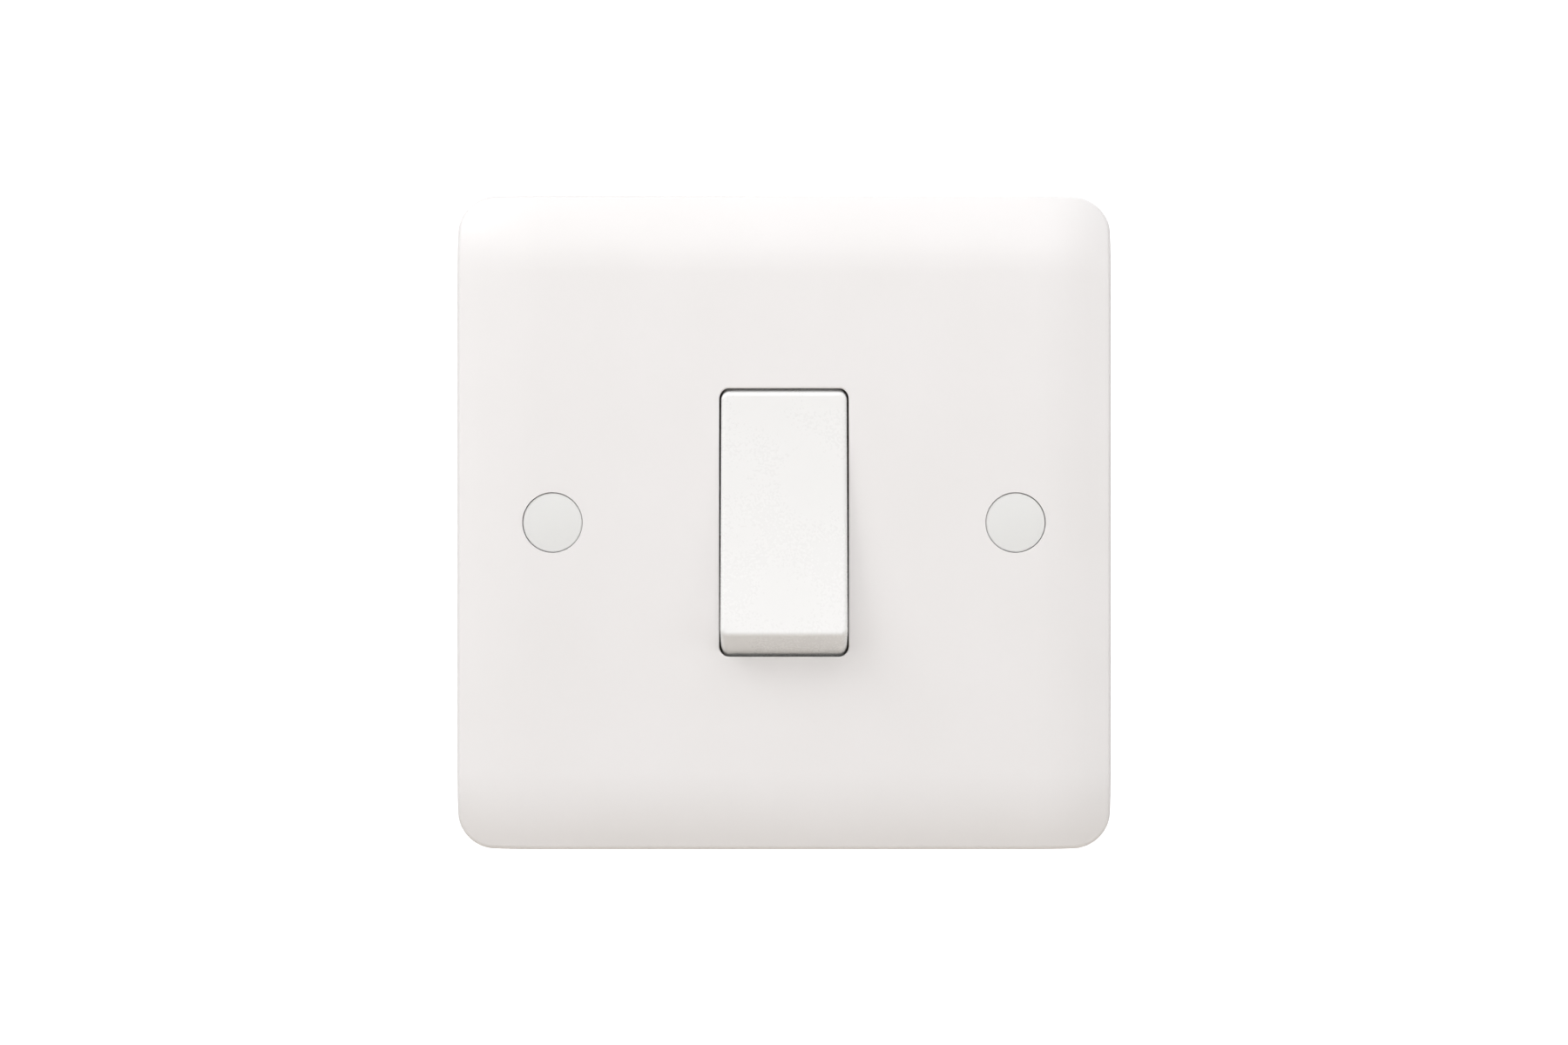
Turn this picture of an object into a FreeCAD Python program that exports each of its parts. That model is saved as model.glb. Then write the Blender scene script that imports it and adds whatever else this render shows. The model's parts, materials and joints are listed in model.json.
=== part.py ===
import FreeCAD, Part
import math
import os

# One-gang two-way rocker wall switch, moulded square plate.
# Millimetres.  +X to the right, +Z up, +Y into the wall.
# The origin is the centre of the faceplate's rear rim, which lies on the wall.

V = FreeCAD.Vector
X_AXIS = V(1, 0, 0)
Y_AXIS = V(0, 1, 0)

# ---- modelling aids --------------------------------------------------------
FAR = 60.0                   # past the outside of the switch, for cutters
OVER = 1.0                   # how far cutters and joined shapes run into each other
NEAR = 0.01                  # two places closer than this are the same
LEAST_EDGE_R = 0.3           # smallest rounding of a hollow

# ---- faceplate -------------------------------------------------------------
PLATE_SIZE = 86.0            # square plate, edge to edge
PLATE_DEPTH = 8.6            # wall to the flat front
PLATE_CORNER_R = 4.8
PLATE_FRONT_WALL = 2.4
PLATE_SIDE_WALL = 2.0
SLOPE_WIDTH = 10.0           # band along each edge that falls away
SLOPE_DROP = 2.0             # how far the front has fallen at the rim
RIM_R = 0.9                  # rounding between the slope and the side
GUSSET_T = 1.2
GUSSET_SET_BACK = 1.0        # from the boss's rear end
KEEPER_SIDE_GAP = 0.2        # trunnion keeper to the cover's slot, lengthwise
KEEPER_SLOT_GAP = 0.15       # and across it

# ---- rocker and its aperture -----------------------------------------------
APERTURE_WIDTH = 16.84
APERTURE_HEIGHT = 34.7
APERTURE_CORNER_R = 1.25
APERTURE_EDGE_R = 0.2
ROCKER_SIDE_GAP = 0.22
ROCKER_END_GAP = 0.42
ROCKER_SWING = 13.0          # degrees, one stop to the other
ROCKER_PROUD = 0.15          # pressed-in edge above the plate's front
ROCKER_DISH = 0.55           # hollow of the finger face at its middle
ROCKER_CORNER_R = 1.0
ROCKER_FACE_R = 0.6
ROCKER_WALL = 1.6
ROCKER_FACE_WALL = 1.8
ROCKER_SKIRT_Y = -1.4        # rear edge of the skirt, swing centred
ROCKER_EAR_WALL = 0.85        # around the trunnion
ROCKER_RIB_T = 1.2
TRUNNION_R = 1.75
TRUNNION_GAP = 0.05
TRUNNION_LENGTH = 1.55
TUBE_END_Y = 5.0
TUBE_WALL = 1.2

# ---- plunger and spring ----------------------------------------------------
PLUNGER_R = 1.75
PLUNGER_GAP = 0.06           # all round, in the rocker's tube
PLUNGER_TOP_Y = 0.0
TIP_GAP = 0.05               # plunger tip to blade, swing centred
SPRING_WIRE_R = 0.2
SPRING_SIDE_GAP = 0.26       # coil to the tube's bore
SPRING_TURNS = 8.0
SPRING_END_GAP = 0.05

# ---- see-saw contact -------------------------------------------------------
BLADE_BEND = 8.0             # each wing leans forward by this, degrees
BLADE_T = 0.7
BLADE_WIDTH = 5.0
BLADE_REACH = 10.6           # axis to wing end
PIVOT_RIDGE_R = 1.2
PIVOT_RIDGE_GAP = 0.06
CRADLE_GAP = 0.15            # blade's rear to the cradle's front
TIP_REACH = 9.0              # axis to contact centre
TIP_R = 1.5
TIP_HEIGHT = 0.7
TIP_SHANK_R = 0.8
TIP_BUTTON_R = 1.1
TIP_BUTTON_T = 0.25
CLOSED_GAP = 0.05            # closed contacts, face to face

# ---- terminals -------------------------------------------------------------
STRIP_T = 0.8
STRIP_WIDTH = 4.0
PAD_MARGIN = 0.2             # strip edge to the fixed contact's edge, about
FIXED_TIP_R = 1.6
FIXED_TIP_HEIGHT = 0.7
CRADLE_WIDTH = 4.4
CRADLE_HEIGHT = 3.6
BLOCK_SIDE_WALL = 1.6        # brass beside the wire bore
BLOCK_FRONT_WALL = 0.5
THREAD_DEPTH = 3.3           # brass that the clamp screw is tapped through
BLOCK_LENGTH = 7.6
BLOCK_EDGE = 0.4
BLOCK_INNER_X = 3.6          # middle of the switch to a block's near side
WIRE_R = 1.9
SCREW_THREAD_R = 1.70
SCREW_THREAD_GAP = 0.05
SCREW_HEAD_R = 2.5
SCREW_HEAD_T = 1.6
SCREW_SLOT = 0.8
SCREW_SLOT_DEPTH = 0.9
SCREW_TRAVEL = 2.6
SCREW_STOP_GAP = 0.1

# ---- mechanism cover and base ----------------------------------------------
COVER_WALL = 1.5
COVER_FLOOR_Y = 3.0          # front of the floor between rocker and contacts
COVER_FLOOR_T = 1.4
COVER_ROCKER_GAP = 0.45
COVER_SIDE_STEP = 0.13       # well wider than the aperture, each side
COVER_SLOT_GAP = 0.5
BASE_WALL = 1.7
BASE_FLOOR_T = 2.0
BASE_FLOOR_Y = 13.4          # front of the base's floor
BASE_EDGE = 0.6
REAR_PANEL_MARGIN = 1.0      # sunk panel inside the contact chamber's outline
REAR_PANEL_DEPTH = 0.6
DIVIDER_T = 1.2
BLADE_END_GAP = 0.6
POCKET_GAP = 0.3
STRIP_SLOT_GAP = 0.2
WIRE_ENTRY_GAP = 0.4
SCREW_ACCESS_GAP = 0.25

# ---- base screws and their pillars -----------------------------------------
PILLAR_GAP = 0.6             # pillar to the base's side
EAR_Z = 14.0
EAR_T = 2.4
PILLAR_WALL = 1.75
PILOT_FLOOR = 1.4
TAPPING_R = 1.2
TAPPING_GAP = 0.05           # in the pillar
EAR_HOLE_GAP = 0.3
TAPPING_TIP_GAP = 1.0
TAPPING_POINT = 1.6
TAPPING_POINT_R = 0.2
TAPPING_HEAD_R = 2.3
TAPPING_HEAD_T = 1.6
CROSS_WIDTH = 0.55
CROSS_REACH = 1.3
CROSS_DEPTH = 0.8

# ---- fixing screws, washers and caps ---------------------------------------
FIXING_CENTRES = 60.3
BOSS_WALL = 1.46
BOSS_REAR_Y = -0.3
WEB_FRONT_Y = -3.2
WEB_REAR_Y = -1.2
FIXING_THREAD_R = 1.75
FIXING_HOLE_GAP = 0.2
FIXING_NECK_STEP = 0.25      # the neck is this much slimmer
FIXING_LENGTH = 20.0         # thread behind the wall plane
FIXING_TIP = 0.8
FIXING_TIP_STEP = 0.3        # tip's end slimmer than the neck
FIXING_HEAD_R = 3.0
FIXING_HEAD_T = 2.0
FIXING_HEAD_EDGE = 0.5
FIXING_HEAD_GAP = 0.4        # to the counterbore
FIXING_SLOT = 0.9
FIXING_SLOT_DEPTH = 1.1
WASHER_FLANGE = 1.7
WASHER_T = 0.6
WASHER_GAP = 0.05
REAR_RECESS_GAP = 0.4
CAP_LEDGE = 0.46             # cap's rim over the counterbore
CAP_GAP = 0.08
CAP_T = 1.3
CAP_EDGE = 0.2
CAP_CROWN = 0.15             # middle stands this far above the rim
CAP_SEAT_GAP = 0.1
CAP_SKIRT_GAP = 0.05
CAP_SKIRT_WALL = 0.7
CAP_SKIRT_LENGTH = 1.5

# ---- worked out from the above ---------------------------------------------
HALF_SWING = ROCKER_SWING / 2
FRONT_Y = -PLATE_DEPTH
PLATE_INNER_Y = FRONT_Y + PLATE_FRONT_WALL
PLATE_HALF = PLATE_SIZE / 2
INNER_HALF = PLATE_HALF - PLATE_SIDE_WALL
APERTURE_R = math.hypot(APERTURE_HEIGHT / 2, PLATE_DEPTH)
ROCKER_R = APERTURE_R - ROCKER_END_GAP
ROCKER_HALF = APERTURE_WIDTH / 2 - ROCKER_SIDE_GAP
FLUSH_ANGLE = math.asin((PLATE_DEPTH + ROCKER_PROUD) / ROCKER_R)
FACE_ANGLE = FLUSH_ANGLE + math.radians(HALF_SWING)
FACE_EDGE_Y = -ROCKER_R * math.sin(FACE_ANGLE)
FACE_HALF = ROCKER_R * math.cos(FACE_ANGLE)
FACE_RADIUS = (FACE_HALF ** 2 + ROCKER_DISH ** 2) / (2 * ROCKER_DISH)
FACE_MID_Y = FACE_EDGE_Y + ROCKER_DISH
TUBE_BORE_R = PLUNGER_R + PLUNGER_GAP
TUBE_R = TUBE_BORE_R + TUBE_WALL
TUBE_BLIND_Y = FACE_MID_Y + ROCKER_FACE_WALL
SPRING_COIL_R = TUBE_BORE_R - SPRING_SIDE_GAP - SPRING_WIRE_R
ROCKER_EAR_R = TRUNNION_R + ROCKER_EAR_WALL

COVER_HALF_INNER = APERTURE_WIDTH / 2 + COVER_SIDE_STEP
COVER_HALF = COVER_HALF_INNER + COVER_WALL
COVER_INNER_Z = ROCKER_R + COVER_ROCKER_GAP
COVER_Z = COVER_INNER_Z + COVER_WALL
COVER_REAR_Y = COVER_FLOOR_Y + COVER_FLOOR_T
SLOT_R = TRUNNION_R + TRUNNION_GAP
TRUNNION_END = ROCKER_HALF + TRUNNION_LENGTH

STRIP_FRONT_Y = BASE_FLOOR_Y - STRIP_T
FIXED_FACE_Y = STRIP_FRONT_Y - FIXED_TIP_HEIGHT
BEND = math.radians(BLADE_BEND)
BLADE_OFFSET = BLADE_T / 2 * math.cos(BEND)
CONTACT_AXIS_Y = FIXED_FACE_Y - CLOSED_GAP - TIP_HEIGHT - BLADE_OFFSET
CRADLE_FRONT_Y = CONTACT_AXIS_Y + BLADE_OFFSET + CRADLE_GAP
TIP_CENTRE_Y = CONTACT_AXIS_Y - BLADE_T / 2 - (PLUNGER_R + TIP_GAP) / math.cos(BEND)
CONTACT_AXIS = V(0, CONTACT_AXIS_Y, 0)

BLOCK_WIDTH = 2 * (WIRE_R + BLOCK_SIDE_WALL)
BLOCK_X = BLOCK_INNER_X + BLOCK_WIDTH / 2
BASE_HALF = BLOCK_X + BLOCK_WIDTH / 2 + POCKET_GAP + BASE_WALL
BASE_REAR_Y = BASE_FLOOR_Y + BASE_FLOOR_T
CHAMBER_HALF = BASE_HALF - BASE_WALL
CHAMBER_Z = BLADE_REACH + BLADE_END_GAP
POCKET_Z = CHAMBER_Z + DIVIDER_T
BLOCK_Z = POCKET_Z + POCKET_GAP
POCKET_END_Z = BLOCK_Z + BLOCK_LENGTH + POCKET_GAP
BASE_Z = POCKET_END_Z + BASE_WALL
WIRE_Y = BASE_FLOOR_Y - THREAD_DEPTH - WIRE_R
BLOCK_FRONT_Y = WIRE_Y - WIRE_R - BLOCK_FRONT_WALL
SCREW_HOLE_R = SCREW_THREAD_R + SCREW_THREAD_GAP
SCREW_TIP_Y = WIRE_Y + WIRE_R + SCREW_THREAD_GAP
SCREW_HEAD_Y = BASE_FLOOR_Y + SCREW_STOP_GAP + SCREW_TRAVEL
SCREW_Z = BLOCK_Z + BLOCK_LENGTH / 2
ACCESS_R = SCREW_HEAD_R + SCREW_ACCESS_GAP

EAR_R = TAPPING_R + TAPPING_GAP + PILLAR_WALL
PILOT_R = TAPPING_R + TAPPING_GAP
EAR_HOLE_R = TAPPING_R + EAR_HOLE_GAP
EAR_X = BASE_HALF + PILLAR_GAP + EAR_R

FIXING_X = FIXING_CENTRES / 2
FIXING_HOLE_R = FIXING_THREAD_R + FIXING_HOLE_GAP
FIXING_NECK_R = FIXING_THREAD_R - FIXING_NECK_STEP
HEAD_RECESS_R = FIXING_HEAD_R + FIXING_HEAD_GAP
CAP_SKIRT_R = HEAD_RECESS_R - CAP_SKIRT_GAP
CAP_R = HEAD_RECESS_R + CAP_LEDGE
RECESS_R = CAP_R + CAP_GAP
RECESS_STEP_Y = FRONT_Y + CAP_T + CAP_SEAT_GAP
BOSS_R = RECESS_R + BOSS_WALL
WASHER_R = FIXING_NECK_R + WASHER_FLANGE
REAR_RECESS_R = WASHER_R + REAR_RECESS_GAP

# (name, side in x, side in z) of the three terminals
TERMINALS = [("common", -1, 1), ("l1", 1, 1), ("l2", 1, -1)]


# ---- helpers ---------------------------------------------------------------
def box(x, y, z):
    """A block from three (low, high) pairs, given in either order."""
    lo = V(min(x), min(y), min(z))
    size = V(max(x), max(y), max(z)) - lo
    return Part.makeBox(size.x, size.y, size.z, lo)


def rod(r, start, end):
    """A round bar between two points."""
    along = end - start
    return Part.makeCylinder(r, along.Length, start, along)


def y_rod(r, x, y, z):
    """A round bar along Y, from y[0] to y[1]."""
    return rod(r, V(x, y[0], z), V(x, y[1], z))


def fuse(first, others):
    """One solid from several touching ones."""
    return first.fuse(others).removeSplitter()


def rounded_prism(half_x, half_z, y, corner_r):
    """A block about the Y axis with its four long edges rounded."""
    block = box((-half_x, half_x), y, (-half_z, half_z))
    along_y = [e for e in block.Edges if abs(e.tangentAt(e.FirstParameter).y) > 0.99]
    return block.makeFillet(corner_r, along_y)


def puck(r, half_width, edge_r):
    """A round disc on the rocker's axis with both rims rounded."""
    disc = rod(r, V(-half_width, 0, 0), V(half_width, 0, 0))
    rims = [e for e in disc.Edges if len(e.Vertexes) == 1]
    return disc.makeFillet(edge_r, rims)


def to_rest_rocker(shape):
    """Turns a rocker piece from mid-swing to its stored stop."""
    shape.rotate(V(0, 0, 0), X_AXIS, -HALF_SWING)
    return shape


def to_rest_contact(shape):
    """Turns a see-saw piece from mid-swing to its stored stop."""
    shape.rotate(CONTACT_AXIS, X_AXIS, BLADE_BEND)
    return shape


def cross_recess(x, y, z):
    """The cutter for a cross-headed recess opening towards +Y."""
    one = box((x - CROSS_REACH, x + CROSS_REACH), y, (z - CROSS_WIDTH / 2, z + CROSS_WIDTH / 2))
    two = box((x - CROSS_WIDTH / 2, x + CROSS_WIDTH / 2), y, (z - CROSS_REACH, z + CROSS_REACH))
    return one.fuse(two)


# ---- faceplate -------------------------------------------------------------
def pillow(shift):
    """A deep block whose front falls away in a soft curve along every edge."""
    curve_r = (SLOPE_WIDTH ** 2 + SLOPE_DROP ** 2) / (2 * SLOPE_DROP)
    half = PLATE_HALF - SLOPE_WIDTH + curve_r
    front = FRONT_Y + shift
    block = box((-half, half), (front, front + FAR), (-half, half))
    soft = []
    for edge in block.Edges:
        middle = edge.valueAt((edge.FirstParameter + edge.LastParameter) / 2)
        at_front = abs(middle.y - front) < NEAR
        along_y = abs(edge.tangentAt(edge.FirstParameter).y) > 0.99
        if at_front or along_y:
            soft.append(edge)
    return block.makeFillet(curve_r, soft)


def plate_shell():
    """The outer skin: softly domed outside, hollow behind."""
    outline = rounded_prism(PLATE_HALF, PLATE_HALF, (FRONT_Y - OVER, 0), PLATE_CORNER_R)
    solid = outline.common(pillow(0))
    rim = []
    for edge in solid.Edges:
        middle = edge.valueAt((edge.FirstParameter + edge.LastParameter) / 2)
        off_wall = middle.y < -NEAR
        at_side = max(abs(middle.x), abs(middle.z)) > PLATE_HALF - PLATE_CORNER_R / 2
        in_loop = abs(edge.tangentAt(edge.FirstParameter).y) < 0.7
        if off_wall and at_side and in_loop:
            rim.append(edge)
    solid = solid.makeFillet(RIM_R, rim)
    inner_r = PLATE_CORNER_R - PLATE_SIDE_WALL
    hollow = rounded_prism(INNER_HALF, INNER_HALF, (FRONT_Y - OVER, OVER), inner_r)
    return solid.cut(hollow.common(pillow(PLATE_FRONT_WALL)))


def trunnion_keeper(side):
    """The post that closes the cover's slot over a rocker trunnion."""
    inner = COVER_HALF_INNER + KEEPER_SIDE_GAP
    outer = COVER_HALF - KEEPER_SIDE_GAP
    half = SLOT_R - KEEPER_SLOT_GAP
    tail = -math.sqrt(SLOT_R ** 2 - half ** 2)
    post = box((side * inner, side * outer), (PLATE_INNER_Y - OVER, tail), (-half, half))
    return post.cut(rod(SLOT_R, V(-COVER_HALF, 0, 0), V(COVER_HALF, 0, 0)))


def faceplate():
    added = []
    holes = []
    for side in (-1, 1):
        x = side * FIXING_X
        added.append(y_rod(BOSS_R, x, (PLATE_INNER_Y - OVER, BOSS_REAR_Y), 0))
        boss_edge = side * (FIXING_X + BOSS_R - OVER)
        wall = side * (INNER_HALF + PLATE_SIDE_WALL / 2)
        gusset_front = PLATE_INNER_Y + SLOPE_DROP - OVER
        gusset_rear = BOSS_REAR_Y - GUSSET_SET_BACK
        half = GUSSET_T / 2
        added.append(box((boss_edge, wall), (gusset_front, gusset_rear), (-half, half)))
        added.append(trunnion_keeper(side))
        holes.append(y_rod(RECESS_R, x, (FRONT_Y - OVER, RECESS_STEP_Y), 0))
        holes.append(y_rod(HEAD_RECESS_R, x, (FRONT_Y - OVER, WEB_FRONT_Y), 0))
        holes.append(y_rod(FIXING_HOLE_R, x, (FRONT_Y - OVER, OVER), 0))
        holes.append(y_rod(REAR_RECESS_R, x, (WEB_REAR_Y, OVER), 0))
        for up in (-1, 1):
            pillar_y = (PLATE_INNER_Y - OVER, COVER_REAR_Y)
            pilot_y = (PLATE_INNER_Y + PILOT_FLOOR, COVER_REAR_Y + OVER)
            added.append(y_rod(EAR_R, side * EAR_X, pillar_y, up * EAR_Z))
            holes.append(y_rod(PILOT_R, side * EAR_X, pilot_y, up * EAR_Z))
    aperture = puck(APERTURE_R, APERTURE_WIDTH / 2, APERTURE_CORNER_R)
    window = aperture.common(box((-FAR, FAR), (-FAR, PLATE_INNER_Y + NEAR), (-FAR, FAR)))
    shell = plate_shell().cut(window)
    mouth = []
    for edge in shell.Edges:
        outline = edge.BoundBox
        at_front = abs(outline.YMax - FRONT_Y) < NEAR
        reach_x = max(abs(outline.XMax), abs(outline.XMin))
        reach_z = max(abs(outline.ZMax), abs(outline.ZMin))
        in_mouth = reach_x < APERTURE_WIDTH / 2 + NEAR and reach_z < APERTURE_HEIGHT / 2 + NEAR
        if at_front and in_mouth:
            mouth.append(edge)
    shell = shell.makeFillet(APERTURE_EDGE_R, mouth)
    return fuse(shell, added).cut(holes)


# ---- rocker ----------------------------------------------------------------
def rocker_block(inset, face_inset, edge_r):
    """The rocker's outer shape, or its inner one when inset."""
    disc = puck(ROCKER_R - inset, ROCKER_HALF - inset, edge_r)
    front = box((-FAR, FAR), (-FAR, ROCKER_SKIRT_Y), (-FAR, FAR))
    dish_y = FACE_MID_Y - FACE_RADIUS
    dish = rod(FACE_RADIUS + face_inset, V(-FAR, dish_y, 0), V(FAR, dish_y, 0))
    return disc.common(front).cut(dish)


def rocker():
    block = rocker_block(0, 0, ROCKER_CORNER_R)
    face_edges = []
    for edge in block.Edges:
        middle = edge.valueAt((edge.FirstParameter + edge.LastParameter) / 2)
        if max(middle.y, edge.BoundBox.YMax) < FACE_MID_Y + ROCKER_DISH / 2:
            face_edges.append(edge)
    block = block.makeFillet(ROCKER_FACE_R, face_edges)
    inner_edge = max(ROCKER_CORNER_R - ROCKER_WALL / 2, LEAST_EDGE_R)
    inner = rocker_block(ROCKER_WALL, ROCKER_FACE_WALL, inner_edge)
    open_rear = inner.fuse(box(
        (-ROCKER_HALF + ROCKER_WALL, ROCKER_HALF - ROCKER_WALL),
        (ROCKER_SKIRT_Y - OVER / 2, ROCKER_SKIRT_Y + OVER),
        (-ROCKER_R + 2 * ROCKER_WALL, ROCKER_R - 2 * ROCKER_WALL)))
    shell = block.cut(open_rear)
    added = [y_rod(TUBE_R, 0, (FACE_MID_Y + OVER, TUBE_END_Y), 0)]
    for side in (-1, 1):
        wall_in = V(side * (ROCKER_HALF - ROCKER_WALL), 0, 0)
        wall_out = V(side * ROCKER_HALF, 0, 0)
        added.append(rod(ROCKER_EAR_R, wall_in, wall_out))
        added.append(rod(TRUNNION_R, wall_in, V(side * TRUNNION_END, 0, 0)))
        half = ROCKER_RIB_T / 2
        reach = (side * (TUBE_R - TUBE_WALL / 2), side * (ROCKER_HALF - ROCKER_WALL / 3))
        added.append(box(reach, (FACE_MID_Y + OVER, ROCKER_SKIRT_Y), (-half, half)))
    body = fuse(shell, added)
    return to_rest_rocker(body.cut(y_rod(TUBE_BORE_R, 0, (TUBE_BLIND_Y, TUBE_END_Y + OVER), 0)))


def plunger():
    stem = y_rod(PLUNGER_R, 0, (PLUNGER_TOP_Y, TIP_CENTRE_Y), 0)
    tip = Part.makeSphere(PLUNGER_R, V(0, TIP_CENTRE_Y, 0))
    return to_rest_rocker(fuse(stem, [tip]))


def plunger_spring():
    start = TUBE_BLIND_Y + SPRING_END_GAP + SPRING_WIRE_R
    length = PLUNGER_TOP_Y - SPRING_END_GAP - SPRING_WIRE_R - start
    helix = Part.makeHelix(length / SPRING_TURNS, length, SPRING_COIL_R)
    path = Part.Wire(helix.Edges)
    wire_start = Part.makeCircle(SPRING_WIRE_R, V(SPRING_COIL_R, 0, 0), Y_AXIS)
    coil = path.makePipeShell([Part.Wire(wire_start)], True, True)
    coil.rotate(V(0, 0, 0), X_AXIS, -90)
    coil.translate(V(0, start, 0))
    return to_rest_rocker(coil)


# ---- see-saw contact -------------------------------------------------------
def wing_point(reach, up, offset):
    """A point on a wing at mid-swing, offset rearwards from its middle."""
    y = CONTACT_AXIS_Y - reach * math.sin(BEND) + offset
    return V(0, y, up * reach * math.cos(BEND))


def moving_contact():
    half = BLADE_T / 2
    outline = [wing_point(BLADE_REACH, 1, -half), wing_point(0, 1, -half),
               wing_point(BLADE_REACH, -1, -half), wing_point(BLADE_REACH, -1, half),
               wing_point(0, 1, half), wing_point(BLADE_REACH, 1, half)]
    face = Part.Face(Part.makePolygon(outline + outline[:1]))
    blade = face.extrude(X_AXIS * BLADE_WIDTH)
    blade.translate(X_AXIS * (-BLADE_WIDTH / 2))
    ends = (V(-BLADE_WIDTH / 2, CONTACT_AXIS_Y, 0), V(BLADE_WIDTH / 2, CONTACT_AXIS_Y, 0))
    ridge = rod(PIVOT_RIDGE_R, *ends)
    behind = box((-FAR, FAR), (CONTACT_AXIS_Y, FAR), (-FAR, FAR))
    blade = fuse(blade, [ridge.common(behind)])
    shanks = [contact_rod(TIP_SHANK_R, up, -BLADE_T, BLADE_T) for up in (-1, 1)]
    return to_rest_contact(blade.cut(shanks))


def contact_rod(r, up, start, end):
    """A round bar square to a wing, from start to end behind its middle."""
    middle = wing_point(TIP_REACH, up, 0)
    normal = V(0, math.cos(BEND), up * math.sin(BEND))
    return rod(r, middle + normal * start, middle + normal * end)


def moving_contact_tips():
    skin = BLADE_OFFSET
    tips = []
    for up in (-1, 1):
        head = contact_rod(TIP_R, up, skin, skin + TIP_HEIGHT)
        shank = contact_rod(TIP_SHANK_R, up, -skin, skin)
        button = contact_rod(TIP_BUTTON_R, up, -skin - TIP_BUTTON_T, -skin)
        tips.append(fuse(head, [shank, button]))
    return to_rest_contact(Part.makeCompound(tips))


# ---- terminals -------------------------------------------------------------
def terminal_block(side, up):
    """The tunnel clamp with its wire bore and tapped hole."""
    x = side * BLOCK_X
    z = (up * BLOCK_Z, up * (BLOCK_Z + BLOCK_LENGTH))
    half = BLOCK_WIDTH / 2
    block = box((x - half, x + half), (BLOCK_FRONT_Y, BASE_FLOOR_Y), z)
    along_z = []
    for edge in block.Edges:
        if abs(edge.tangentAt(edge.FirstParameter).z) > 0.99:
            along_z.append(edge)
    block = block.makeChamfer(BLOCK_EDGE, along_z)
    wire = rod(WIRE_R, V(x, WIRE_Y, min(z) - OVER), V(x, WIRE_Y, max(z) + OVER))
    tapped = y_rod(SCREW_HOLE_R, x, (WIRE_Y, BASE_FLOOR_Y + OVER), up * SCREW_Z)
    return block.cut([wire, tapped])


def strip(x, z):
    """A flat run of brass on the base's floor."""
    return box(x, (STRIP_FRONT_Y, BASE_FLOOR_Y), z)


def strip_lane(side):
    """The x range of the brass run that leads to a terminal block."""
    centre = side * BLOCK_X
    return (centre - STRIP_WIDTH / 2, centre + STRIP_WIDTH / 2)


def common_terminal():
    half_w = CRADLE_WIDTH / 2
    half_h = CRADLE_HEIGHT / 2
    lane = strip_lane(-1)
    leg = strip(lane, (-half_h, BLOCK_Z + BLOCK_EDGE))
    bar = strip((min(lane), half_w), (-half_h, half_h))
    post = box((-half_w, half_w), (CRADLE_FRONT_Y, STRIP_FRONT_Y), (-half_h, half_h))
    groove_r = PIVOT_RIDGE_R + PIVOT_RIDGE_GAP
    groove = rod(groove_r, V(-BLADE_WIDTH, CONTACT_AXIS_Y, 0), V(BLADE_WIDTH, CONTACT_AXIS_Y, 0))
    return fuse(terminal_block(-1, 1), [leg, bar, post]).cut(groove)


def line_terminal(up):
    """The brass piece with a fixed contact on its pad."""
    lane = strip_lane(1)
    half = FIXED_TIP_R + PAD_MARGIN
    pad_z = (up * (TIP_REACH - half), up * (TIP_REACH + half))
    pad = strip((-half - 2 * PAD_MARGIN, max(lane)), pad_z)
    leg = strip(lane, (pad_z[1], up * (BLOCK_Z + BLOCK_EDGE)))
    hole = y_rod(TIP_SHANK_R, 0, (STRIP_FRONT_Y - OVER, BASE_FLOOR_Y + OVER), up * TIP_REACH)
    return fuse(terminal_block(1, up), [pad, leg]).cut(hole)


def fixed_contact(up):
    head = y_rod(FIXED_TIP_R, 0, (FIXED_FACE_Y, STRIP_FRONT_Y), up * TIP_REACH)
    shank = y_rod(TIP_SHANK_R, 0, (STRIP_FRONT_Y, BASE_FLOOR_Y), up * TIP_REACH)
    return fuse(head, [shank])


def terminal_screw(side, up):
    """A slotted clamp screw, stored backed out."""
    x = side * BLOCK_X
    z = up * SCREW_Z
    shank = y_rod(SCREW_THREAD_R, x, (SCREW_TIP_Y, SCREW_HEAD_Y), z)
    tip = [e for e in shank.Edges if abs(e.BoundBox.YMax - SCREW_TIP_Y) < NEAR]
    shank = shank.makeChamfer(SCREW_THREAD_R / 4, tip)
    rear = SCREW_HEAD_Y + SCREW_HEAD_T
    head = y_rod(SCREW_HEAD_R, x, (SCREW_HEAD_Y, rear), z)
    outer = [e for e in head.Edges if abs(e.BoundBox.YMin - rear) < NEAR]
    head = head.makeFillet(SCREW_HEAD_T / 4, outer)
    half = SCREW_SLOT / 2
    slot_y = (rear - SCREW_SLOT_DEPTH, rear + OVER)
    slot = box((x - 2 * SCREW_HEAD_R, x + 2 * SCREW_HEAD_R), slot_y, (z - half, z + half))
    return fuse(shank, [head]).cut(slot)


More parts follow.
